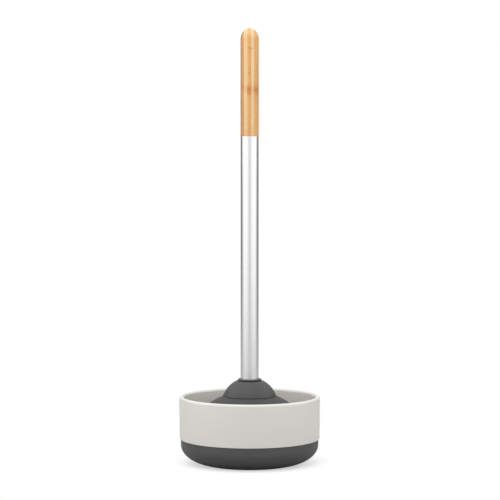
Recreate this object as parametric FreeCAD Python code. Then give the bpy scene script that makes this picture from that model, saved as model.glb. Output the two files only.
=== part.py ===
"""Toilet plunger standing in its open storage tray.

The plunger is a turned bamboo grip and an aluminium tube carrying a moulded dome cap, with a two-tier rubber
cup bolted under it. The cup has a fold-out flange below its rim, and stands on that flange inside the tray.
The tray is a thick-walled bowl with a rounded lip, sitting in a moulded non-slip boot.

Millimetres. +Z is up and is the axis of everything turned. The origin is the centre of the boot's underside.
"""

import FreeCAD, Part
import math
import os

# Driving dimensions: the whole object
OVERALL_HEIGHT = 577.6
TRAY_HEIGHT = 90.4
TRAY_RADIUS = 93.7
TUBE_RADIUS = 12.0
CUP_RADIUS = 72.0

# Gaps: between pieces that move apart, and between bonded pieces
BODY_GAP = 0.3
BOND_GAP = 0.1

# Boot: the dark lower shell of the tray
FOOT_RADIUS = 48.2
BOOT_CORNER_HEIGHT = 26.0
BOOT_RADIUS = 91.4
BOOT_TOP_RADIUS = 91.8
SEAM_HEIGHT = 34.2
BOOT_WALL = 2.6
BOOT_FLOOR = 3.0
FOOT_RECESS_DEPTH = 1.2
FOOT_RECESS_RADIUS = 38.0
NON_SLIP_RING_RADII = (10.0, 20.0, 30.0)
NON_SLIP_RING_WIDTH = 2.4

# Bowl: the pale upper shell of the tray
BOWL_WALL = 6.5
BOWL_SEAM_RADIUS = 93.0
BOWL_DRAFT = 0.9
BOWL_FLOOR_Z = 9.5
BOWL_CORNER = 30.0
SEAM_EDGE_ROUND = 0.6

# Dome cap
DOME_SPHERE = 38.1
DOME_SPHERE_Z = 77.2
DOME_WALL = 3.0
DOME_LIP_Z = 91.1
DOME_TOP_Z = 110.6
HUB_RADIUS = 16.5
HUB_BOTTOM_Z = 82.0
HUB_WEB = 2.2
DOME_RIBS = 8
DOME_RIB_WIDTH = 2.0
DOME_RIB_BOTTOM_Z = 93.0

# Rubber cup
FLANGE_FOOT_Z = BOWL_FLOOR_Z + BODY_GAP
FLANGE_LIP_RADIUS = 38.0
FLANGE_ROOT_RADIUS = 44.0
FLANGE_WALL = 3.0
RIM_Z = 37.0
RIM_BEAD = 3.2
SKIRT_RADIUS = 70.0
SKIRT_CORNER = 22.0
SHOULDER_SPHERE = 93.0
SHOULDER_SPHERE_Z = 4.4
CUP_WALL = 4.0
SKIRT_WALL = 3.4
CROWN_Z = 90.8
CROWN_RECESS_RADIUS = 17.2
CROWN_SEAT_Z = HUB_BOTTOM_Z - BODY_GAP
CROWN_UNDER_Z = 76.0
BOSS_RADIUS = 22.0
BOSS_TOP_RADIUS = 29.0

# Collar around the tube where it enters the dome cap
COLLAR_RADIUS = 15.8
COLLAR_NECK_RADIUS = 13.2
COLLAR_TOP_RADIUS = 14.9
COLLAR_TOP_Z = 113.4
COLLAR_NECK_TOP_Z = 111.3
COLLAR_WIDEST_Z = 112.3

# Tube and its end plugs
TUBE_WALL = 1.0
TUBE_TOP_Z = 435.0
TUBE_BOTTOM_Z = HUB_BOTTOM_Z + HUB_WEB
SLIP = 0.05
PLUG_CLEARANCE = 0.1
LOWER_PLUG_LENGTH = 28.0
LOWER_NUT_DEPTH = 14.0
TENON_LENGTH = 18.0
UPPER_PLUG_LENGTH = 24.0
UPPER_NUT_DEPTH = 9.0

# Grip
GRIP_PROUD = 0.1
GRIP_CROWN_HEIGHT = 14.5
GRIP_EDGE_ROUND = 0.6
PILOT_DEPTH = 31.0

# Fasteners: M8 holds the cup, M6 holds the grip
M8_RADIUS = 4.0
M8_NUT_FLATS = 13.0
M8_NUT_HEIGHT = 6.5
M8_HEAD_HEIGHT = 5.3
M8_LENGTH = 35.0
M6_RADIUS = 3.0
M6_NUT_FLATS = 10.0
M6_NUT_HEIGHT = 5.0
M6_STUD_BELOW_PLUG = 5.0
HOLE_CLEARANCE = 0.2
POCKET_CLEARANCE = 0.1
WASHER_RADIUS = 16.0
WASHER_THICKNESS = 2.0
WASHER_TOP_Z = CROWN_UNDER_Z - BODY_GAP

AXIS = FreeCAD.Vector(0, 0, 1)
ORIGIN = FreeCAD.Vector(0, 0, 0)
CUT_MARGIN = 1.0


def at(r, z):
    """A point of a turned section, r from the axis and z up."""
    return FreeCAD.Vector(r, 0, z)


def line(a, b):
    return Part.LineSegment(at(*a), at(*b)).toShape()


def arc(centre, radius, start, end):
    """A round stretch of a section, from one angle to another, in degrees from the +r direction."""
    def point(angle):
        turn = math.radians(angle)
        return at(centre[0] + radius * math.cos(turn), centre[1] + radius * math.sin(turn))

    return Part.Arc(point(start), point((start + end) / 2), point(end)).toShape()


def elliptical_arc(centre, r_axis, z_axis, start, end):
    """A stretch of an ellipse whose axes lie along r and z, between two angles in degrees from +r."""
    on_r_axis, on_z_axis = at(centre[0] + r_axis, centre[1]), at(centre[0], centre[1] + z_axis)
    if r_axis > z_axis:
        ellipse = Part.Ellipse(on_r_axis, on_z_axis, at(*centre))
        ends = (start, end)
    else:
        ellipse = Part.Ellipse(on_z_axis, on_r_axis, at(*centre))
        ends = (90 - end, 90 - start)
    return Part.ArcOfEllipse(ellipse, math.radians(ends[0]), math.radians(ends[1])).toShape()


def turned(edges):
    """Turns a closed section round the Z axis into a solid."""
    wire = Part.Wire(Part.__sortEdges__(edges))
    return Part.Face(wire).revolve(ORIGIN, AXIS, 360)


def turned_polygon(points):
    corners = [at(*p) for p in points]
    return Part.Face(Part.makePolygon(corners + corners[:1])).revolve(ORIGIN, AXIS, 360)


def cylinder(radius, bottom, top):
    return Part.makeCylinder(radius, top - bottom, FreeCAD.Vector(0, 0, bottom))


def hexagon_prism(flats, bottom, top):
    """A six-sided prism on the axis, measured across its flats."""
    corner = flats / 2 / math.cos(math.pi / 6)
    turns = [math.radians(60 * i) for i in range(7)]
    outline = [FreeCAD.Vector(corner * math.cos(t), corner * math.sin(t), bottom) for t in turns]
    return Part.Face(Part.makePolygon(outline)).extrude(FreeCAD.Vector(0, 0, top - bottom))


def through_hole(thread_radius, bottom, top):
    """Clearance hole for a thread, cut right through between two heights."""
    return cylinder(thread_radius + HOLE_CLEARANCE, bottom - CUT_MARGIN, top + CUT_MARGIN)


def nut_pocket(flats, bottom, top):
    return hexagon_prism(flats + 2 * POCKET_CLEARANCE, bottom, top)


def sphere_z(radius, centre_z, r):
    """Height of a sphere on the axis at distance r from it."""
    return centre_z + math.sqrt(radius**2 - r**2)


def export(name, shape):
    solid = shape.removeSplitter()
    solid = solid.Solids[0] if len(solid.Solids) == 1 else solid
    if not solid.isValid():
        raise ValueError(f"{name} is not a valid solid")
    solid.exportStep(os.path.join("parts", name + ".step"))
    print(f"{name:14s} {solid.Volume / 1000:9.2f} cm3")


# Holder


def base_boot():
    """Moulded dish with a wide elliptical corner, and a recessed underside with non-slip rings."""
    corner = (FOOT_RADIUS, BOOT_CORNER_HEIGHT)
    outer_r = BOOT_RADIUS - FOOT_RADIUS
    inner_side = BOOT_RADIUS - BOOT_WALL
    inner_top = BOOT_TOP_RADIUS - BOOT_WALL
    section = [
        line((0, 0), (FOOT_RADIUS, 0)),
        elliptical_arc(corner, outer_r, BOOT_CORNER_HEIGHT, -90, 0),
        line((BOOT_RADIUS, BOOT_CORNER_HEIGHT), (BOOT_TOP_RADIUS, SEAM_HEIGHT)),
        line((BOOT_TOP_RADIUS, SEAM_HEIGHT), (inner_top, SEAM_HEIGHT)),
        line((inner_top, SEAM_HEIGHT), (inner_side, BOOT_CORNER_HEIGHT)),
        elliptical_arc(corner, inner_side - FOOT_RADIUS, BOOT_CORNER_HEIGHT - BOOT_FLOOR, -90, 0),
        line((FOOT_RADIUS, BOOT_FLOOR), (0, BOOT_FLOOR)),
        line((0, BOOT_FLOOR), (0, 0)),
    ]
    boot = turned(section).cut(cylinder(FOOT_RECESS_RADIUS, -CUT_MARGIN, FOOT_RECESS_DEPTH))
    for radius in NON_SLIP_RING_RADII:
        ring = cylinder(radius + NON_SLIP_RING_WIDTH / 2, 0, FOOT_RECESS_DEPTH)
        boot = boot.fuse(ring.cut(cylinder(radius - NON_SLIP_RING_WIDTH / 2, 0, FOOT_RECESS_DEPTH)))
    return boot


def tray_bowl():
    """Thick bowl: full-round lip, nearly upright wall, and a rebated bottom that fills the boot."""
    lip = BOWL_WALL / 2
    lip_z = TRAY_HEIGHT - lip
    lip_r = TRAY_RADIUS - lip
    inner_top = TRAY_RADIUS - BOWL_WALL
    inner_foot = inner_top - BOWL_DRAFT
    corner_r = inner_foot - BOWL_CORNER
    corner_z = BOWL_FLOOR_Z + BOWL_CORNER
    rebate_top = BOOT_TOP_RADIUS - BOOT_WALL - BOND_GAP
    rebate_side = BOOT_RADIUS - BOOT_WALL - BOND_GAP
    under = BOOT_FLOOR + BOND_GAP
    foot_corner = (FOOT_RADIUS, BOOT_CORNER_HEIGHT)
    edge = (BOWL_SEAM_RADIUS - SEAM_EDGE_ROUND, SEAM_HEIGHT + SEAM_EDGE_ROUND)
    section = [
        line((0, under), (FOOT_RADIUS, under)),
        elliptical_arc(foot_corner, rebate_side - FOOT_RADIUS, BOOT_CORNER_HEIGHT - under, -90, 0),
        line((rebate_side, BOOT_CORNER_HEIGHT), (rebate_top, SEAM_HEIGHT)),
        line((rebate_top, SEAM_HEIGHT), (edge[0], SEAM_HEIGHT)),
        arc(edge, SEAM_EDGE_ROUND, -90, 0),
        line((BOWL_SEAM_RADIUS, edge[1]), (TRAY_RADIUS, lip_z)),
        arc((lip_r, lip_z), lip, 0, 180),
        line((inner_top, lip_z), (inner_foot, corner_z)),
        arc((corner_r, corner_z), BOWL_CORNER, 0, -90),
        line((corner_r, BOWL_FLOOR_Z), (0, BOWL_FLOOR_Z)),
        line((0, BOWL_FLOOR_Z), (0, under)),
    ]
    return turned(section)


# Rubber cup


def bell_side(sphere, skirt, corner):
    """Centre of the corner between the shoulder sphere and an upright skirt, and the angle it starts at."""
    turn = math.asin((skirt - corner) / (sphere - corner))
    return (skirt - corner, SHOULDER_SPHERE_Z + (sphere - corner) * math.cos(turn)), 90 - math.degrees(turn)


def angle_on_sphere(sphere, r):
    return math.degrees(math.acos(r / sphere))


def rubber_cup():
    """Bell with a flat crown, a spherical shoulder and an upright skirt that ends in a beaded rim."""
    centre = (0, SHOULDER_SPHERE_Z)
    inner_sphere = SHOULDER_SPHERE - CUP_WALL
    inner_skirt = SKIRT_RADIUS - SKIRT_WALL
    outer_corner, outer_steep = bell_side(SHOULDER_SPHERE, SKIRT_RADIUS, SKIRT_CORNER)
    inner_corner, inner_steep = bell_side(inner_sphere, inner_skirt, SKIRT_CORNER - SKIRT_WALL)
    crown_r = math.sqrt(SHOULDER_SPHERE**2 - (CROWN_Z - SHOULDER_SPHERE_Z) ** 2)
    boss_top_z = sphere_z(inner_sphere, SHOULDER_SPHERE_Z, BOSS_TOP_RADIUS)
    bead = (CUP_RADIUS - RIM_BEAD, RIM_Z + RIM_BEAD)
    bead_turn = math.acos((SKIRT_RADIUS - bead[0]) / RIM_BEAD)
    bead_top_z = bead[1] + RIM_BEAD * math.sin(bead_turn)
    hole = M8_RADIUS + HOLE_CLEARANCE
    section = [
        line((hole, CROWN_SEAT_Z), (CROWN_RECESS_RADIUS, CROWN_SEAT_Z)),
        line((CROWN_RECESS_RADIUS, CROWN_SEAT_Z), (CROWN_RECESS_RADIUS, CROWN_Z)),
        line((CROWN_RECESS_RADIUS, CROWN_Z), (crown_r, CROWN_Z)),
        arc(centre, SHOULDER_SPHERE, angle_on_sphere(SHOULDER_SPHERE, crown_r), outer_steep),
        arc(outer_corner, SKIRT_CORNER, outer_steep, 0),
        line((SKIRT_RADIUS, outer_corner[1]), (SKIRT_RADIUS, bead_top_z)),
        arc(bead, RIM_BEAD, math.degrees(bead_turn), -90),
        line((bead[0], RIM_Z), (inner_skirt, RIM_Z)),
        line((inner_skirt, RIM_Z), (inner_skirt, inner_corner[1])),
        arc(inner_corner, SKIRT_CORNER - SKIRT_WALL, 0, inner_steep),
        arc(centre, inner_sphere, inner_steep, angle_on_sphere(inner_sphere, BOSS_TOP_RADIUS)),
        line((BOSS_TOP_RADIUS, boss_top_z), (BOSS_RADIUS, CROWN_UNDER_Z)),
        line((BOSS_RADIUS, CROWN_UNDER_Z), (hole, CROWN_UNDER_Z)),
        line((hole, CROWN_UNDER_Z), (hole, CROWN_SEAT_Z)),
    ]
    return turned(section)


def cup_flange():
    """Ring bonded inside the rim, with a tapering sleeve that seals in the toilet's outlet."""
    web_r = SKIRT_RADIUS - SKIRT_WALL - BOND_GAP
    web_top = RIM_Z + FLANGE_WALL
    lip = FLANGE_WALL / 2
    lip_c = (FLANGE_LIP_RADIUS - lip, FLANGE_FOOT_Z + lip)
    section = [
        line((web_r, RIM_Z), (FLANGE_ROOT_RADIUS, RIM_Z)),
        line((FLANGE_ROOT_RADIUS, RIM_Z), (FLANGE_LIP_RADIUS, lip_c[1])),
        arc(lip_c, lip, 0, -180),
        line((lip_c[0] - lip, lip_c[1]), (FLANGE_ROOT_RADIUS - FLANGE_WALL, web_top)),
        line((FLANGE_ROOT_RADIUS - FLANGE_WALL, web_top), (web_r, web_top)),
        line((web_r, web_top), (web_r, RIM_Z)),
    ]
    return turned(section)


# Stick


def dome_cap():
    """Spherical cap over the cup's crown, with a hub that takes the tube and ribs that brace the hub."""
    inner = DOME_SPHERE - DOME_WALL
    everything = Part.makeSphere(DOME_SPHERE, FreeCAD.Vector(0, 0, DOME_SPHERE_Z))
    hollow = Part.makeSphere(inner, FreeCAD.Vector(0, 0, DOME_SPHERE_Z))
    band = cylinder(DOME_SPHERE + CUT_MARGIN, DOME_LIP_Z, DOME_TOP_Z)
    shell = everything.common(band).cut(hollow)
    hub = cylinder(HUB_RADIUS, HUB_BOTTOM_Z, DOME_TOP_Z)
    rib = Part.makeBox(
        DOME_SPHERE, DOME_RIB_WIDTH, DOME_SPHERE_Z + DOME_SPHERE - DOME_RIB_BOTTOM_Z,
        FreeCAD.Vector(0, -DOME_RIB_WIDTH / 2, DOME_RIB_BOTTOM_Z),
    )
    inside = everything.common(band)
    cap = shell.fuse(hub)
    for i in range(DOME_RIBS):
        turned_rib = rib.copy()
        turned_rib.rotate(ORIGIN, AXIS, 360 * i / DOME_RIBS)
        cap = cap.fuse(turned_rib.common(inside))
    cap = cap.cut(cylinder(TUBE_RADIUS + SLIP, TUBE_BOTTOM_Z, DOME_TOP_Z + CUT_MARGIN))
    return cap.cut(through_hole(M8_RADIUS, HUB_BOTTOM_Z, TUBE_BOTTOM_Z))


def neck_collar():
    """Beaded ring that closes the joint between tube and dome cap; its narrow neck leaves a shadow gap."""
    bore = TUBE_RADIUS + SLIP
    bead_r = COLLAR_RADIUS - (COLLAR_WIDEST_Z - COLLAR_NECK_TOP_Z)
    shoulder_r, shoulder_z = COLLAR_RADIUS - COLLAR_TOP_RADIUS, COLLAR_TOP_Z - COLLAR_WIDEST_Z
    section = [
        line((bore, DOME_TOP_Z), (COLLAR_NECK_RADIUS, DOME_TOP_Z)),
        line((COLLAR_NECK_RADIUS, DOME_TOP_Z), (COLLAR_NECK_RADIUS, COLLAR_NECK_TOP_Z)),
        line((COLLAR_NECK_RADIUS, COLLAR_NECK_TOP_Z), (bead_r, COLLAR_NECK_TOP_Z)),
        arc((bead_r, COLLAR_WIDEST_Z), COLLAR_RADIUS - bead_r, -90, 0),
        elliptical_arc((COLLAR_TOP_RADIUS, COLLAR_WIDEST_Z), shoulder_r, shoulder_z, 0, 90),
        line((COLLAR_TOP_RADIUS, COLLAR_TOP_Z), (bore, COLLAR_TOP_Z)),
        line((bore, COLLAR_TOP_Z), (bore, DOME_TOP_Z)),
    ]
    return turned(section)


def handle_tube():
    """Drawn aluminium tube between the dome cap and the grip."""
    outside = cylinder(TUBE_RADIUS, TUBE_BOTTOM_Z, TUBE_TOP_Z)
    return outside.cut(cylinder(TUBE_RADIUS - TUBE_WALL, TUBE_BOTTOM_Z - CUT_MARGIN, TUBE_TOP_Z + CUT_MARGIN))


def lower_plug():
    """Plug pressed into the foot of the tube, with a pocket from above that keeps the M8 nut from turning."""
    top = TUBE_BOTTOM_Z + LOWER_PLUG_LENGTH
    plug = cylinder(TUBE_RADIUS - TUBE_WALL - PLUG_CLEARANCE, TUBE_BOTTOM_Z, top)
    plug = plug.cut(through_hole(M8_RADIUS, TUBE_BOTTOM_Z, top))
    return plug.cut(nut_pocket(M8_NUT_FLATS, top - LOWER_NUT_DEPTH, top + CUT_MARGIN))


def hexagon_nut(flats, height, thread_radius, bottom):
    """Nut with chamfered corners, bored to the thread's own size plus a slip fit."""
    flat, corner = flats / 2, flats / 2 / math.cos(math.pi / 6)
    top = bottom + height
    low, high = bottom + corner - flat, top - corner + flat
    corners = [(0, bottom), (flat, bottom), (corner, low), (corner, high), (flat, top), (0, top)]
    envelope = turned_polygon(corners)
    nut = hexagon_prism(flats, bottom, top).common(envelope)
    return nut.cut(cylinder(thread_radius + SLIP, bottom - CUT_MARGIN, top + CUT_MARGIN))


def lower_nut():
    seat = TUBE_BOTTOM_Z + LOWER_PLUG_LENGTH - LOWER_NUT_DEPTH
    return hexagon_nut(M8_NUT_FLATS, M8_NUT_HEIGHT, M8_RADIUS, seat)


def cup_washer():
    """Wide washer that spreads the bolt's load over the underside of the cup's crown."""
    bottom = WASHER_TOP_Z - WASHER_THICKNESS
    return cylinder(WASHER_RADIUS, bottom, WASHER_TOP_Z).cut(through_hole(M8_RADIUS, bottom, WASHER_TOP_Z))


def cup_bolt():
    """M8 hexagon bolt, put in from below through washer, crown, dome cap and lower plug."""
    under_head = WASHER_TOP_Z - WASHER_THICKNESS
    bottom = under_head - M8_HEAD_HEIGHT
    flat, corner = M8_NUT_FLATS / 2, M8_NUT_FLATS / 2 / math.cos(math.pi / 6)
    low = bottom + corner - flat
    corners = [(0, bottom), (flat, bottom), (corner, low), (corner, under_head), (0, under_head)]
    envelope = turned_polygon(corners)
    head = hexagon_prism(M8_NUT_FLATS, bottom, under_head).common(envelope)
    tip = under_head + M8_LENGTH
    shank = turned_polygon(
        [(0, under_head), (M8_RADIUS, under_head), (M8_RADIUS, tip - 1.0), (M8_RADIUS - 1.0, tip), (0, tip)]
    )
    return head.fuse(shank)


def upper_plug():
    """Plug pressed into the tube under the grip's tenon, with a pocket from below for the M6 nut."""
    top = TUBE_TOP_Z - TENON_LENGTH
    bottom = top - UPPER_PLUG_LENGTH
    plug = cylinder(TUBE_RADIUS - TUBE_WALL - PLUG_CLEARANCE, bottom, top)
    plug = plug.cut(through_hole(M6_RADIUS, bottom, top))
    return plug.cut(nut_pocket(M6_NUT_FLATS, bottom - CUT_MARGIN, bottom + UPPER_NUT_DEPTH))


def upper_nut():
    pocket_roof = TUBE_TOP_Z - TENON_LENGTH - UPPER_PLUG_LENGTH + UPPER_NUT_DEPTH
    return hexagon_nut(M6_NUT_FLATS, M6_NUT_HEIGHT, M6_RADIUS, pocket_roof - M6_NUT_HEIGHT)


def grip_stud():
    """Hanger bolt: a pointed wood thread in the grip, a machine thread through the upper plug."""
    shoulder = TUBE_TOP_Z - TENON_LENGTH
    bottom = shoulder - UPPER_PLUG_LENGTH - M6_STUD_BELOW_PLUG
    tip = shoulder + PILOT_DEPTH - 1.0
    point = tip - 2 * M6_RADIUS
    chamfer = 0.8
    foot = [(0, bottom), (M6_RADIUS - chamfer, bottom), (M6_RADIUS, bottom + chamfer)]
    return turned_polygon(foot + [(M6_RADIUS, point), (0.5, tip), (0, tip)])


def bamboo_grip():
    """Turned grip with a domed end, a tenon that enters the tube and a blind pilot hole for the stud."""
    radius = TUBE_RADIUS + GRIP_PROUD
    crown_z = OVERALL_HEIGHT - GRIP_CROWN_HEIGHT
    tenon_r = TUBE_RADIUS - TUBE_WALL - PLUG_CLEARANCE
    tenon_z = TUBE_TOP_Z - TENON_LENGTH
    pilot_r = M6_RADIUS + SLIP
    pilot_top = tenon_z + PILOT_DEPTH
    edge = (radius - GRIP_EDGE_ROUND, TUBE_TOP_Z + GRIP_EDGE_ROUND)
    section = [
        line((pilot_r, tenon_z), (tenon_r, tenon_z)),
        line((tenon_r, tenon_z), (tenon_r, TUBE_TOP_Z)),
        line((tenon_r, TUBE_TOP_Z), (edge[0], TUBE_TOP_Z)),
        arc(edge, GRIP_EDGE_ROUND, -90, 0),
        line((radius, edge[1]), (radius, crown_z)),
        elliptical_arc((0, crown_z), radius, GRIP_CROWN_HEIGHT, 0, 90),
        line((0, OVERALL_HEIGHT), (0, pilot_top)),
        line((0, pilot_top), (pilot_r, pilot_top)),
        line((pilot_r, pilot_top), (pilot_r, tenon_z)),
    ]
    return turned(section)


PIECES = (
    base_boot, tray_bowl, rubber_cup, cup_flange, dome_cap, neck_collar, handle_tube, lower_plug, lower_nut,
    cup_washer, cup_bolt, upper_plug, upper_nut, grip_stud, bamboo_grip,
)

os.makedirs("parts", exist_ok=True)
for piece in PIECES:
    export(piece.__name__, piece())
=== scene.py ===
"""Looks for the toilet plunger in its storage tray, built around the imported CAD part.

Lengths in profiles are in millimetres, as (distance from the axis, height), and become metres in the meshes.
"""

import math

import bpy
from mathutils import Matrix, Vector


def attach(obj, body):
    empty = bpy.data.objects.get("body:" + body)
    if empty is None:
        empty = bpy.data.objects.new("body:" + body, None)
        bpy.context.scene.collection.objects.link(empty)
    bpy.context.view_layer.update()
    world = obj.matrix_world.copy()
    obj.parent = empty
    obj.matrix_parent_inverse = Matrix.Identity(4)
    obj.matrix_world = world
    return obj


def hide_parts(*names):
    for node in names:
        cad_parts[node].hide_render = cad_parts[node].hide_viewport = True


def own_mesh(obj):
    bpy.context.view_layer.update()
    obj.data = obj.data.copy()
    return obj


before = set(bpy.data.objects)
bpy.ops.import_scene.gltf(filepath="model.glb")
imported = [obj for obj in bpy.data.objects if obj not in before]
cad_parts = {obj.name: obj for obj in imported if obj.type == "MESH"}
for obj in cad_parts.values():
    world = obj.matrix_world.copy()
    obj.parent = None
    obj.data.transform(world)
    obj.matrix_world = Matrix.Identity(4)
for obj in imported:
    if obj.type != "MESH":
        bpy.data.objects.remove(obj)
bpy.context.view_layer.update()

MM = 0.001
TURNS = 192
CORNER_STEPS = 5
SHARP_ANGLE = 32
BODY_HOLDER, BODY_CUP, BODY_STICK = "holder", "cup", "stick"


# Profiles


def arc(centre, radius, start, end, steps, squash=1.0):
    """Points of a round stretch, from one angle to another in degrees, squashed in height if asked."""
    points = []
    for i in range(steps + 1):
        turn = math.radians(start + (end - start) * i / steps)
        points.append((centre[0] + radius * math.cos(turn), centre[1] + radius * squash * math.sin(turn)))
    return points


def corner_point(a, b, c, radius):
    """Rounds the corner b of the path a-b-c with a small radius."""
    va, vc = Vector((a[0] - b[0], a[1] - b[1])), Vector((c[0] - b[0], c[1] - b[1]))
    half = va.angle(vc) / 2
    reach = min(radius / math.tan(half), 0.45 * va.length, 0.45 * vc.length)
    start, end = Vector(b) + va.normalized() * reach, Vector(b) + vc.normalized() * reach
    points = []
    for i in range(CORNER_STEPS + 1):
        t = i / CORNER_STEPS
        points.append(tuple(start * (1 - t) ** 2 + Vector(b) * 2 * t * (1 - t) + end * t**2))
    return points


def rounded(path, radii, closed=True):
    """A path whose corners are rounded: radii gives the radius for each corner's index."""
    points, count = [], len(path)
    for i, b in enumerate(path):
        if i in radii and (closed or 0 < i < count - 1):
            points += corner_point(path[i - 1], b, path[(i + 1) % count], radii[i])
        else:
            points.append(b)
    return points


def lathe(name, profile, body, material, closed=True, turns=TURNS):
    """Turns a profile round Z. A closed profile is a ring; an open one starts and ends on the axis."""
    cleaned = [p for i, p in enumerate(profile) if i == 0 or math.dist(p, profile[i - 1]) > 1e-4]
    if closed and math.dist(cleaned[0], cleaned[-1]) < 1e-4:
        cleaned.pop()
    vertices, rings = [], []
    for r, z in cleaned:
        if r < 1e-6:
            rings.append([len(vertices)] * turns)
            vertices.append((0.0, 0.0, z * MM))
            continue
        rings.append([len(vertices) + k for k in range(turns)])
        for k in range(turns):
            turn = 2 * math.pi * k / turns
            vertices.append((r * MM * math.cos(turn), r * MM * math.sin(turn), z * MM))
    faces = []
    count = len(rings)
    for i in range(count if closed else count - 1):
        low, high = rings[i], rings[(i + 1) % count]
        for k in range(turns):
            n = (k + 1) % turns
            corners = [low[k], low[n], high[n], high[k]]
            faces.append([v for j, v in enumerate(corners) if v != corners[j - 1]])
    mesh = bpy.data.meshes.new(name)
    mesh.from_pydata(vertices, [], [f for f in faces if len(f) > 2])
    mesh.validate()
    mesh.update()
    mesh.shade_smooth()
    mesh.set_sharp_from_angle(angle=math.radians(SHARP_ANGLE))
    piece = bpy.data.objects.new(name, mesh)
    bpy.context.scene.collection.objects.link(piece)
    mesh.materials.append(material)
    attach(piece, body)
    return piece


# Materials


class Tree:
    """Short names for building one node tree."""

    def __init__(self, tree):
        self.tree = tree

    def add(self, kind, **settings):
        node = self.tree.nodes.new(kind)
        for key, value in settings.items():
            setattr(node, key, value)
        return node

    def link(self, source, target):
        self.tree.links.new(source, target)

    def put(self, value, socket):
        """Links a socket, or sets a plain value."""
        if isinstance(value, bpy.types.NodeSocket):
            self.link(value, socket)
        else:
            socket.default_value = value

    def math(self, operation, a, b=0.0, clamp=False):
        node = self.add("ShaderNodeMath", operation=operation, use_clamp=clamp)
        self.put(a, node.inputs[0])
        self.put(b, node.inputs[1])
        return node.outputs[0]

    def mix(self, factor, a, b, blend="MIX"):
        """Mixes two colours."""
        node = self.add("ShaderNodeMix", data_type="RGBA", blend_type=blend)
        self.put(factor, node.inputs["Factor"])
        self.put(a, node.inputs["A"])
        self.put(b, node.inputs["B"])
        return node.outputs["Result"]

    def blend(self, factor, a, b):
        """Mixes two shaders."""
        node = self.add("ShaderNodeMixShader")
        self.link(factor, node.inputs["Fac"])
        self.link(a, node.inputs[1])
        self.link(b, node.inputs[2])
        return node.outputs[0]

    def smoothstep(self, value, start, end, low=0.0, high=1.0):
        node = self.add("ShaderNodeMapRange", interpolation_type="SMOOTHSTEP")
        self.link(value, node.inputs["Value"])
        for socket, number in zip(("From Min", "From Max", "To Min", "To Max"), (start, end, low, high)):
            node.inputs[socket].default_value = number
        return node.outputs["Result"]

    def ramp(self, value, stops):
        node = self.add("ShaderNodeValToRGB")
        elements = node.color_ramp.elements
        while len(elements) > 1:
            elements.remove(elements[-1])
        for i, (at, colour) in enumerate(stops):
            element = elements[0] if i == 0 else elements.new(at)
            element.position = at
            element.color = colour if len(colour) == 4 else (*colour, 1.0)
        self.link(value, node.inputs["Fac"])
        return node.outputs["Color"]


class Material(Tree):
    """A material's node tree, with its Principled BSDF as shader."""

    def __init__(self, name):
        self.material = bpy.data.materials.new(name)
        self.material.use_nodes = True
        super().__init__(self.material.node_tree)
        self.shader = self.tree.nodes["Principled BSDF"]

    def set(self, **values):
        for key, value in values.items():
            self.shader.inputs[key.replace("_", " ")].default_value = value

    def position(self, scale):
        coordinates = self.add("ShaderNodeTexCoord")
        mapping = self.add("ShaderNodeMapping")
        mapping.inputs["Scale"].default_value = scale
        self.link(coordinates.outputs["Object"], mapping.inputs["Vector"])
        return mapping.outputs["Vector"]

    def noise(self, scale, stretch=(1.0, 1.0, 1.0), detail=3.0, roughness=0.55):
        node = self.add("ShaderNodeTexNoise")
        node.inputs["Scale"].default_value = scale
        node.inputs["Detail"].default_value = detail
        node.inputs["Roughness"].default_value = roughness
        self.link(self.position(stretch), node.inputs["Vector"])
        return node.outputs["Fac"]

    def bump(self, height, strength, distance):
        node = self.add("ShaderNodeBump")
        node.inputs["Strength"].default_value = strength
        node.inputs["Distance"].default_value = distance
        self.link(height, node.inputs["Height"])
        self.link(node.outputs["Normal"], self.shader.inputs["Normal"])


def grey(value, warm=0.0):
    return (value * (1 + warm), value, value * (1 - warm), 1.0)


def around(colour, spread):
    """A darker and a lighter version of a colour."""
    return [(*(min(1.0, c * factor) for c in colour[:3]), 1.0) for factor in (1 - spread, 1 + spread)]


def moulded(name, colour, roughness, grain, grain_depth, specular=0.5, variation=0.06):
    """Moulded plastic or rubber: one colour with a faint unevenness and a fine eroded texture."""
    m = Material(name)
    m.link(m.mix(m.noise(28.0), *around(colour, variation)), m.shader.inputs["Base Color"])
    m.set(Roughness=roughness, Specular_IOR_Level=specular)
    m.bump(m.noise(grain, detail=2.0), 0.35, grain_depth)
    return m.material


def metal(name, colour, roughness, stretch, streaks):
    """Metal with fine streaks."""
    m = Material(name)
    streak = m.noise(900.0, stretch, detail=2.0)
    m.link(m.mix(streak, *around(colour, streaks)), m.shader.inputs["Base Color"])
    m.set(Metallic=1.0, Roughness=roughness)
    m.bump(streak, 0.15, 0.00002)
    return m


def brushed_tube(name):
    """Satin aluminium: fine streaks along Z, and reflections smeared up and down."""
    m = metal(name, grey(0.74), 0.29, (1.0, 1.0, 0.02), streaks=0.03)
    m.set(Anisotropic=0.6, Anisotropic_Rotation=0.25)
    tangent = m.add("ShaderNodeTangent", direction_type="RADIAL", axis="Z")
    m.link(tangent.outputs["Tangent"], m.shader.inputs["Tangent"])
    return m.material


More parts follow.
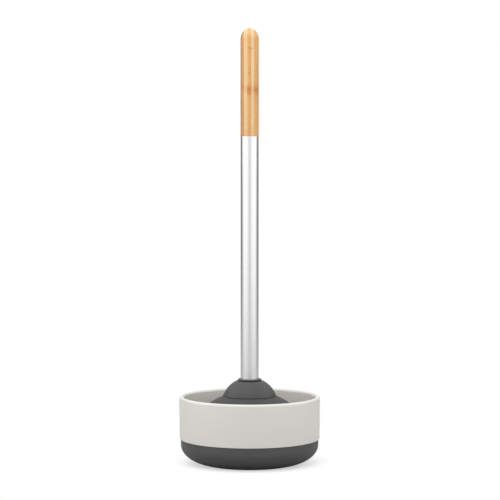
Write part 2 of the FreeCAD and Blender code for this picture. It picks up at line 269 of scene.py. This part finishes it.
def bamboo(name):
    """Laminated bamboo: flat strips side by side in X, each with its own colour, fibres and node marks."""
    m = Material(name)
    coordinates = m.add("ShaderNodeTexCoord")
    split = m.add("ShaderNodeSeparateXYZ")
    m.link(coordinates.outputs["Object"], split.inputs[0])
    x, z = split.outputs["X"], split.outputs["Z"]
    # the strips wander a little along their length
    wander = m.noise(14.0, (0.2, 0.2, 1.0), detail=1.0)
    shift = m.math("MULTIPLY", m.math("SUBTRACT", wander, 0.5), 0.0009)
    x_mm = m.math("MULTIPLY", m.math("ADD", x, shift), 1000.0)
    # the ramp's stops run from -half to half, and the strips meet at these edges, in millimetres
    half, blur = 14.0, 0.4
    across = m.math("DIVIDE", m.math("ADD", x_mm, half), 2 * half, clamp=True)
    edges = (-7.5, -2.7, 2.0, 5.6)
    colours = (
        (0.525, 0.262, 0.080), (0.72, 0.48, 0.240), (0.66, 0.355, 0.126),
        (0.75, 0.53, 0.290), (0.62, 0.335, 0.124),
    )
    stops = [(0.0, colours[0])]
    for i, edge in enumerate(edges):
        stops.append(((edge - blur + half) / (2 * half), colours[i]))
        stops.append(((edge + blur + half) / (2 * half), colours[i + 1]))
    base = m.ramp(across, stops)
    # fibre bundles: long thin streaks, coarse and fine
    coarse = m.noise(420.0, (1.0, 1.0, 0.035), detail=3.0, roughness=0.6)
    fine = m.noise(1700.0, (1.0, 1.0, 0.02), detail=2.0)
    slow = m.noise(36.0, (1.0, 1.0, 0.55), detail=2.0)
    fibre = m.math("ADD", m.math("MULTIPLY", coarse, 0.55), m.math("MULTIPLY", fine, 0.45))
    shade = m.ramp(fibre, [(0.30, (0.84, 0.80, 0.74)), (0.52, (1.0, 1.0, 1.0)), (0.72, (1.06, 1.07, 1.08))])
    colour = m.mix(1.0, base, shade, "MULTIPLY")
    tint = m.ramp(slow, [(0.3, (0.93, 0.90, 0.86)), (0.7, (1.05, 1.06, 1.07))])
    colour = m.mix(1.0, colour, tint, "MULTIPLY")

    def in_strip(low, high):
        return m.math("MULTIPLY", m.math("GREATER_THAN", x_mm, low), m.math("LESS_THAN", x_mm, high))

    def node_mark(height, width, low, high, strength):
        """A brown band across one strip, strongest at its middle height."""
        uneven = m.noise(180.0, (1.0, 1.0, 0.3), detail=2.0)
        waver = m.math("MULTIPLY", m.math("SUBTRACT", uneven, 0.5), 0.004)
        away = m.math("DIVIDE", m.math("SUBTRACT", m.math("ADD", z, waver), height * MM), width * MM)
        bell = m.math("POWER", 2.718, m.math("MULTIPLY", m.math("MULTIPLY", away, away), -1.0))
        return m.math("MULTIPLY", m.math("MULTIPLY", bell, strength), in_strip(low, high), clamp=True)

    # height, half-width, strip's two edges and strength, all but the last in millimetres
    far = 20.0
    marks = (
        (496.0, 5.6, -3.4, 2.2, 0.92), (491.0, 2.0, -3.0, 2.0, 0.85), (496.0, 6.5, 5.4, far, 0.92),
        (500.0, 3.6, -far, -7.5, 0.70), (497.0, 5.0, -7.5, -3.4, 0.30), (495.0, 5.0, 2.2, 5.4, 0.24),
        (550.0, 1.3, -2.9, 3.6, 0.60), (546.5, 3.0, -2.9, 3.0, 0.22), (523.5, 1.2, -2.9, 2.0, 0.34),
        (517.5, 1.6, -2.9, 2.0, 0.48), (445.5, 1.0, 2.0, 5.6, 0.32), (441.0, 3.4, -7.5, 5.6, 0.20),
        (436.5, 1.6, -far, far, 0.18), (462.0, 1.0, -2.9, 2.0, 0.22), (452.0, 2.0, -far, -7.5, 0.3),
    )
    total = 0.0
    for mark in marks:
        total = m.math("MAXIMUM", node_mark(*mark), total)
    m.link(m.mix(total, colour, (0.47, 0.185, 0.038, 1.0)), m.shader.inputs["Base Color"])
    m.set(Roughness=0.42, Specular_IOR_Level=0.4, Coat_Weight=0.12, Coat_Roughness=0.3)
    m.bump(fibre, 0.25, 0.00006)
    return m.material


rubber = moulded("cup_rubber", grey(0.049, 0.01), 0.62, 2600.0, 0.00004, specular=0.25)
cap = moulded("cap_plastic", grey(0.060, 0.01), 0.50, 2200.0, 0.00004, specular=0.25)
collar_finish = moulded("collar_plastic", grey(0.060, 0.01), 0.5, 2200.0, 0.00003, specular=0.4)
boot_finish = moulded("boot_rubber", grey(0.047, 0.015), 0.50, 2400.0, 0.00005, specular=0.6)
pale = (0.595, 0.584, 0.548, 1.0)
bowl_finish = moulded("bowl_plastic", pale, 0.26, 1500.0, 0.00002, specular=0.45, variation=0.012)
tube_finish = brushed_tube("tube_aluminium")
nylon = moulded("plug_nylon", (0.72, 0.70, 0.64, 1.0), 0.5, 1500.0, 0.00003, specular=0.5)
zinc = metal("zinc_steel", (0.66, 0.67, 0.68, 1.0), 0.32, (1.0, 1.0, 1.0), streaks=0.08).material
stainless = metal("stainless_steel", (0.62, 0.61, 0.60, 1.0), 0.24, (1.0, 1.0, 0.2), streaks=0.06).material
wood = bamboo("bamboo")


# Tray: a dark boot with a non-slip foot, and a pale bowl standing in it

FOOT_R, CORNER_H, BOOT_R, BOOT_TOP_R, SEAM_Z = 48.2, 26.0, 91.4, 91.8, 34.2
BOOT_WALL, BOOT_FLOOR = 2.6, 3.0
BOOT_IN = BOOT_R - BOOT_WALL
RECESS_R, RECESS, NON_SLIP_RINGS, RING_WIDTH = 38.0, 1.2, (10.0, 20.0, 30.0), 2.4
TRAY_R, TRAY_TOP, WALL = 93.66, 90.4, 6.5
BOWL_FLOOR, BOWL_CORNER, DRAFT, BOWL_SEAM_R, SEAM_EDGE = 9.5, 30.0, 0.86, 93.0, 0.6
GAP = 0.1


def boot_corner(side, bottom):
    """The wide elliptical corner between foot and side."""
    reach = side - FOOT_R
    return arc((FOOT_R, CORNER_H), reach, -90, 0, 28, (CORNER_H - bottom) / reach)


boot_profile = [(0, RECESS)]
for ring in NON_SLIP_RINGS:
    inner, outer = ring - RING_WIDTH / 2, ring + RING_WIDTH / 2
    boot_profile += [(inner, RECESS), (inner, 0), (outer, 0), (outer, RECESS)]
boot_profile += (
    [(RECESS_R, RECESS)]
    + corner_point((RECESS_R, RECESS), (RECESS_R, 0), (FOOT_R, 0), 0.5)
    + boot_corner(BOOT_R, 0)
    + corner_point((BOOT_R, CORNER_H), (BOOT_TOP_R, SEAM_Z), (BOOT_TOP_R - BOOT_WALL, SEAM_Z), 0.5)
    + [(BOOT_TOP_R - BOOT_WALL, SEAM_Z), (BOOT_IN, CORNER_H)]
    + boot_corner(BOOT_IN, BOOT_FLOOR)[::-1]
    + [(0, BOOT_FLOOR)]
)
boot = lathe("boot", boot_profile, BODY_HOLDER, boot_finish, closed=False)
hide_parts("base_boot")

bowl_profile = (
    [(0, BOOT_FLOOR + GAP)]
    + boot_corner(BOOT_IN - GAP, BOOT_FLOOR + GAP)
    + [(BOOT_TOP_R - BOOT_WALL - GAP, SEAM_Z)]
    + arc((BOWL_SEAM_R - SEAM_EDGE, SEAM_Z + SEAM_EDGE), SEAM_EDGE, -90, 0, 6)
    + arc((TRAY_R - WALL / 2, TRAY_TOP - WALL / 2), WALL / 2, 0, 180, 32)
    + arc((TRAY_R - WALL - DRAFT - BOWL_CORNER, BOWL_FLOOR + BOWL_CORNER), BOWL_CORNER, 0, -90, 28)
    + [(0, BOWL_FLOOR)]
)
bowl = lathe("bowl", bowl_profile, BODY_HOLDER, bowl_finish, closed=False, turns=256)
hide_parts("tray_bowl")

# Rubber cup: the real bell flattens when it's pressed, and here it's a mesh of its own on the cup's body;
# the crown under the cap goes down with the stick

SHOULDER_Z, SHOULDER_R, SHOULDER_IN = 4.4, 93.0, 89.0
CUP_R, SKIRT_R, SKIRT_IN, CORNER, CORNER_IN = 72.0, 70.0, 66.6, 22.0, 18.6
RIM_Z, BEAD = 37.0, 3.2
FLANGE_ROOT, FLANGE_LIP, FLANGE_WALL, FLANGE_BOTTOM = 44.0, 38.0, 3.0, 9.8
CROWN_TOP, CROWN_UNDER, CROWN_R, SPLIT_R = 90.8, 76.0, 34.41, 33.0
SEAT_Z, SEAT_R, BOSS_R, BOSS_TOP_R = 81.7, 17.2, 22.0, 29.0
BOLT_HOLE = 4.2


def shoulder_arc(radius, start, end, steps):
    return arc((0.0, SHOULDER_Z), radius, start, end, steps)


def turn_at(radius, r):
    """The angle up the shoulder's sphere at which it's this far from the axis."""
    return math.degrees(math.acos(r / radius))


def skirt_corner(radius, side, corner):
    """Centre of the round corner between shoulder and upright skirt, and the angle at which they meet."""
    lean = math.asin((side - corner) / (radius - corner))
    return (side - corner, SHOULDER_Z + (radius - corner) * math.cos(lean)), 90 - math.degrees(lean)


outer_corner, outer_turn = skirt_corner(SHOULDER_R, SKIRT_R, CORNER)
inner_corner, inner_turn = skirt_corner(SHOULDER_IN, SKIRT_IN, CORNER_IN)
foot = FLANGE_BOTTOM + FLANGE_WALL / 2
flange_top = RIM_Z + FLANGE_WALL
flange_in, flange_root_in = FLANGE_LIP - FLANGE_WALL, FLANGE_ROOT - FLANGE_WALL
bell_profile = (
    [(SPLIT_R, CROWN_TOP)]
    + shoulder_arc(SHOULDER_R, turn_at(SHOULDER_R, CROWN_R), outer_turn, 30)
    + arc(outer_corner, CORNER, outer_turn, 0, 24)
    + arc((CUP_R - BEAD, RIM_Z + BEAD), BEAD, 68, -90, 16)
    + rounded([(SKIRT_IN - GAP, RIM_Z), (FLANGE_ROOT, RIM_Z), (FLANGE_LIP, foot)], {1: 1.2}, closed=False)
    + arc((FLANGE_LIP - FLANGE_WALL / 2, foot), FLANGE_WALL / 2, 0, -180, 12)
    + rounded(
        [(flange_in, foot), (flange_root_in, flange_top), (SKIRT_IN, flange_top), (SKIRT_IN, 50.0)],
        {1: 2.0, 2: 2.5},
        closed=False,
    )
    + arc(inner_corner, CORNER_IN, 0, inner_turn, 24)
    + shoulder_arc(SHOULDER_IN, inner_turn, turn_at(SHOULDER_IN, SPLIT_R), 30)
)
bell = lathe("cup_bell", bell_profile, BODY_CUP, rubber, turns=256)
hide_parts("rubber_cup", "cup_flange")
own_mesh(bell)

crown_edge = SPLIT_R - 0.05
crown_profile = (
    [(BOLT_HOLE, SEAT_Z), (SEAT_R, SEAT_Z), (SEAT_R, CROWN_TOP), (crown_edge, CROWN_TOP)]
    + shoulder_arc(SHOULDER_IN, turn_at(SHOULDER_IN, crown_edge), turn_at(SHOULDER_IN, BOSS_TOP_R), 4)
    + [(BOSS_R, CROWN_UNDER), (BOLT_HOLE, CROWN_UNDER)]
)
crown = lathe("cup_crown", crown_profile, BODY_STICK, rubber)
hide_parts("rubber_cup")

# Cap and collar: the cap is a sphere's shell, cut off flat at the top and open at the lip

CAP_R, CAP_Z, CAP_LIP, LIP_EDGE, CAP_TOP, BORE = 38.1, 77.2, 90.9, 0.3, 110.6, 12.05
CAP_IN, HUB_R, HUB_Z, TUBE_FOOT = CAP_R - 3, 16.5, 82.0, 84.2


def cap_point(radius, z):
    """The point at one height on the cap's sphere, or on a smaller one round the same centre."""
    return (math.sqrt(radius**2 - (z - CAP_Z) ** 2), z)


def cap_arc(radius, start_z, end_z, steps):
    turns = [math.degrees(math.asin((z - CAP_Z) / radius)) for z in (start_z, end_z)]
    return arc((0, CAP_Z), radius, *turns, steps)


lip_out, lip_in = cap_point(CAP_R, CAP_LIP), cap_point(CAP_IN, CAP_LIP)
hub_top = CAP_Z + math.sqrt(CAP_IN**2 - HUB_R**2)
# the points at 93, 93.1 and 14 only say which way an edge goes on
cap_profile = (
    [(BOLT_HOLE, TUBE_FOOT), (BOLT_HOLE, HUB_Z), (HUB_R, HUB_Z)]
    + cap_arc(CAP_IN, hub_top, CAP_LIP, 20)
    + corner_point(cap_point(CAP_IN, 93), lip_in, lip_out, LIP_EDGE)
    + corner_point(lip_in, lip_out, cap_point(CAP_R, 93.1), LIP_EDGE)
    + cap_arc(CAP_R, 91.3, CAP_TOP - 0.5, 40)
    + corner_point(cap_point(CAP_R, CAP_TOP - 0.5), cap_point(CAP_R, CAP_TOP), (14.0, CAP_TOP), 0.4)
    + [(BORE, CAP_TOP), (BORE, TUBE_FOOT)]
)
dome = lathe("dome_cap_skin", cap_profile, BODY_STICK, cap, turns=256)
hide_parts("dome_cap")

NECK_R, NECK_TOP, COLLAR_R, COLLAR_MID, COLLAR_TOP = 13.2, 111.3, 15.8, 112.3, 113.4
BEAD_LOW, BEAD_HIGH = 1.0, 0.9
collar_profile = (
    [(BORE, CAP_TOP), (NECK_R, CAP_TOP), (NECK_R, NECK_TOP), (COLLAR_R - BEAD_LOW, NECK_TOP)]
    + arc((COLLAR_R - BEAD_LOW, COLLAR_MID), BEAD_LOW, -90, 0, 8)
    + arc((COLLAR_R - BEAD_HIGH, COLLAR_MID), BEAD_HIGH, 0, 90, 8, (COLLAR_TOP - COLLAR_MID) / BEAD_HIGH)
    + [(12.6, COLLAR_TOP), (BORE, 113.0)]
)
collar = lathe("collar_ring", collar_profile, BODY_STICK, collar_finish, turns=256)
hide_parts("neck_collar")

# Handle

TUBE_R, TUBE_IN, TUBE_TOP = 12.0, 11.0, 435.0
tube_profile = rounded(
    [(TUBE_R, TUBE_FOOT), (TUBE_R, TUBE_TOP), (TUBE_IN, TUBE_TOP), (TUBE_IN, TUBE_FOOT)],
    {0: 0.3, 1: 0.25, 2: 0.2, 3: 0.2},
)
tube = lathe("tube", tube_profile, BODY_STICK, tube_finish, turns=256)
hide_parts("handle_tube")

GRIP_R, GRIP_EDGE, GRIP_TOP, CROWN_H = 12.1, 0.6, 577.6, 14.5
TENON_R, TENON_FOOT, STUD_HOLE_R, STUD_HOLE_TOP = 10.9, 417.0, 3.05, 448.0
grip_profile = (
    [(0, STUD_HOLE_TOP), (STUD_HOLE_R, STUD_HOLE_TOP), (STUD_HOLE_R, TENON_FOOT)]
    + [(TENON_R, TENON_FOOT), (TENON_R, TUBE_TOP)]
    + arc((GRIP_R - GRIP_EDGE, TUBE_TOP + GRIP_EDGE), GRIP_EDGE, -90, 0, 6)
    + arc((0, GRIP_TOP - CROWN_H), GRIP_R, 0, 90, 40, CROWN_H / GRIP_R)
)
grip = lathe("grip", grip_profile, BODY_STICK, wood, closed=False, turns=256)
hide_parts("bamboo_grip")

# CAD nodes that are shown as they are
for node, material in {
    "lower_plug": nylon, "upper_plug": nylon, "lower_nut": zinc, "upper_nut": zinc, "grip_stud": zinc,
    "cup_washer": stainless, "cup_bolt": stainless,
}.items():
    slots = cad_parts[node].data.materials
    slots.clear()
    slots.append(material)


# Stage: pale floor that fades into a white surround, soft light from both sides and above


def floor_material():
    """Pale floor: matt grey to the object, and to the camera a white sweep that keeps the contact shadow."""
    m = Material("floor")
    m.set(Roughness=0.9, Specular_IOR_Level=0.0, Base_Color=(0.45, 0.45, 0.45, 1.0))
    place = m.add("ShaderNodeTexCoord").outputs["Object"]

    def distance(centre):
        node = m.add("ShaderNodeVectorMath", operation="DISTANCE")
        m.link(place, node.inputs[0])
        node.inputs[1].default_value = centre
        return node.outputs["Value"]

    # far out the floor opens, so that the tube reflects the surround and not the floor
    beyond = m.smoothstep(distance((0.0, 0.0, 0.0)), 0.5, 2.6)
    matt = m.blend(beyond, m.shader.outputs[0], m.add("ShaderNodeBsdfTransparent").outputs[0])
    # the contact shadow is the paper's, and the glow hides the rest
    shadow = m.smoothstep(distance((0.0, 0.036, 0.0)), 0.085, 0.122, 0.55, 1.0)
    paper, glow = m.add("ShaderNodeBsdfDiffuse"), m.add("ShaderNodeEmission")
    paper.inputs["Color"].default_value = (0.9, 0.9, 0.9, 1.0)
    glow.inputs["Strength"].default_value = 1.0
    sweep = m.blend(shadow, paper.outputs[0], glow.outputs[0])
    seen = m.blend(m.add("ShaderNodeLightPath").outputs["Is Camera Ray"], matt, sweep)
    m.link(seen, m.tree.nodes["Material Output"].inputs["Surface"])
    return m.material


bpy.ops.mesh.primitive_plane_add(size=60.0, location=(0, 0, -0.0002))
floor = bpy.context.object
floor.name = "floor"
floor.data.materials.append(floor_material())


def surround():
    """Studio surround: bright broad panels front left and right, dark behind them, and a pale back."""
    world = bpy.data.worlds.new("studio")
    bpy.context.scene.world = world
    world.use_nodes = True
    w = Tree(world.node_tree)
    w.tree.nodes.clear()
    split = w.add("ShaderNodeSeparateXYZ")
    w.link(w.add("ShaderNodeTexCoord").outputs["Generated"], split.inputs[0])
    x, y, z = split.outputs
    # brightness by the angle from the front, the same on both sides
    from_front = w.math("ARCTAN2", x, w.math("MULTIPLY", y, -1.0))
    angle = w.math("DIVIDE", w.math("ABSOLUTE", from_front), math.pi)
    levels = (
        (0, 0.54), (14, 0.72), (34, 1.0), (74, 1.0), (96, 0.46), (120, 0.13), (142, 0.13), (164, 0.55),
        (180, 0.62),
    )
    ring = w.ramp(angle, [(degrees / 180, grey(level)) for degrees, level in levels])
    sky = w.mix(w.smoothstep(z, 0.22, 0.60), ring, grey(0.78))
    lit, seen = w.add("ShaderNodeBackground"), w.add("ShaderNodeBackground")
    lit.inputs["Strength"].default_value = 1.45
    w.link(sky, lit.inputs["Color"])
    seen.inputs["Color"].default_value = (1.0, 1.0, 1.0, 1.0)
    both = w.blend(w.add("ShaderNodeLightPath").outputs["Is Camera Ray"], lit.outputs[0], seen.outputs[0])
    w.link(both, w.add("ShaderNodeOutputWorld").inputs["Surface"])


surround()


def softbox(name, place, target, size, watts):
    data = bpy.data.lights.new(name, "AREA")
    data.shape = "RECTANGLE"
    data.size, data.size_y = size
    data.energy = watts
    light = bpy.data.objects.new(name, data)
    light.location = place
    light.rotation_euler = (Vector(target) - Vector(place)).to_track_quat("-Z", "Y").to_euler()
    bpy.context.scene.collection.objects.link(light)


softbox("overhead", (-0.3, -0.7, 1.9), (0, 0, 0.1), (1.6, 1.2), 12.0)
softbox("left", (-1.5, 0.15, 1.15), (0, 0, 0.08), (0.9, 0.8), 7.0)
softbox("right", (1.5, 0.15, 1.15), (0, 0, 0.08), (0.9, 0.8), 5.4)

camera_data = bpy.data.cameras.new("camera")
camera_data.lens = 126.7
camera_data.sensor_width = 36.0
camera = bpy.data.objects.new("camera", camera_data)
camera.location = (0.0005, -2.331, 0.384)
camera.rotation_euler = (math.radians(90 - 2.44), 0.0, 0.0)
bpy.context.scene.collection.objects.link(camera)
bpy.context.scene.camera = camera
bpy.context.scene.view_settings.view_transform = "Standard"
